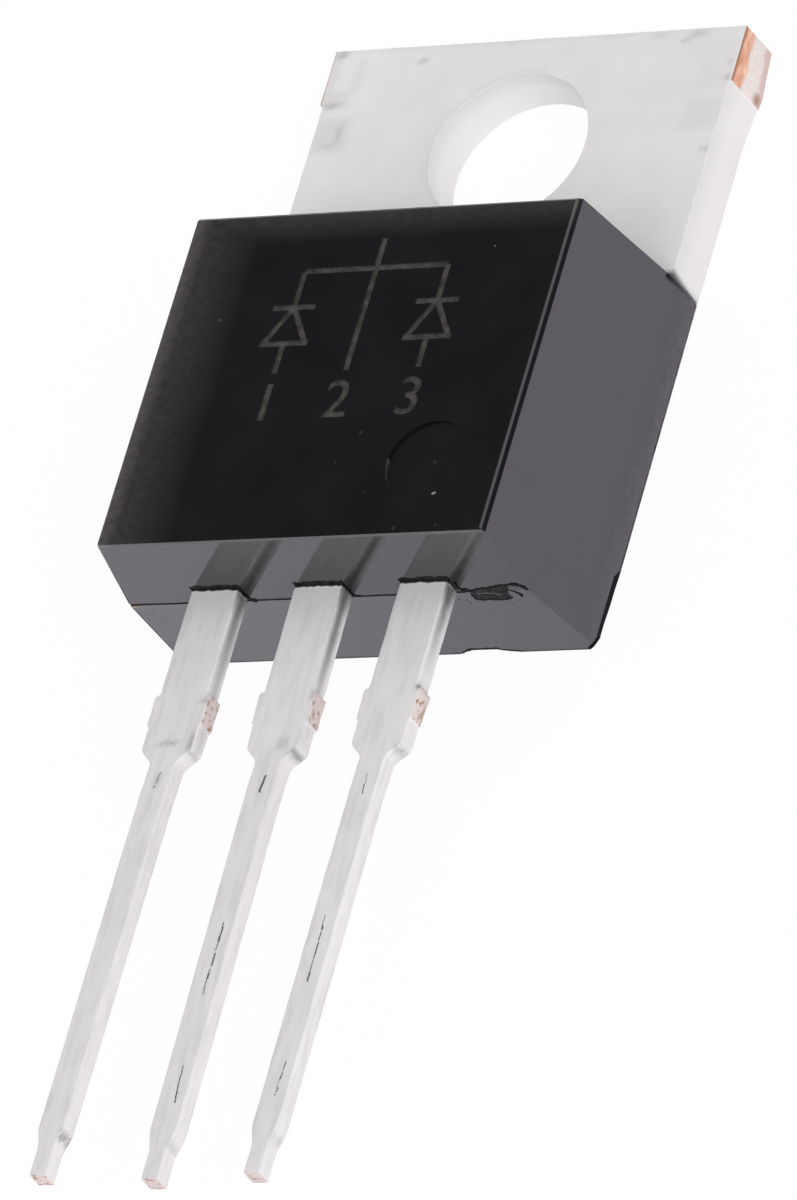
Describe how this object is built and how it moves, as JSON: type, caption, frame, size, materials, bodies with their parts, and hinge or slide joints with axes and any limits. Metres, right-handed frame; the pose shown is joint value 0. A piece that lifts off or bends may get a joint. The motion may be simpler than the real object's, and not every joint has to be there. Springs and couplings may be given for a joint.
{
  "type": "switching diode",
  "caption": "Flat power package for a fast dual rectifier: a moulded epoxy block on a plated metal tab with a screw hole, and straight leads in one row.",
  "frame": {"origin": "on the bare metal back, on the centre line, where the tab leaves the moulding", "axes": "+X to the right as the printed face is seen with its leads down, +Y towards the tab's top, +Z out of the printed face"},
  "size_m": [0.0102, 0.0291, 0.0046],
  "materials": {
    "epoxy": "satin",
    "tinned_copper": "satin",
    "silicon": "polished",
    "die_solder": "satin",
    "bond_wire": "satin"
  },
  "bodies": {
    "root": {"moulded_body": "epoxy", "tab_and_centre_lead": "tinned_copper", "left_lead": "tinned_copper", "right_lead": "tinned_copper", "left_die": "silicon", "right_die": "silicon", "left_die_solder": "die_solder", "right_die_solder": "die_solder", "left_bond_wire": "bond_wire", "right_bond_wire": "bond_wire"}
  },
  "joints": []
}
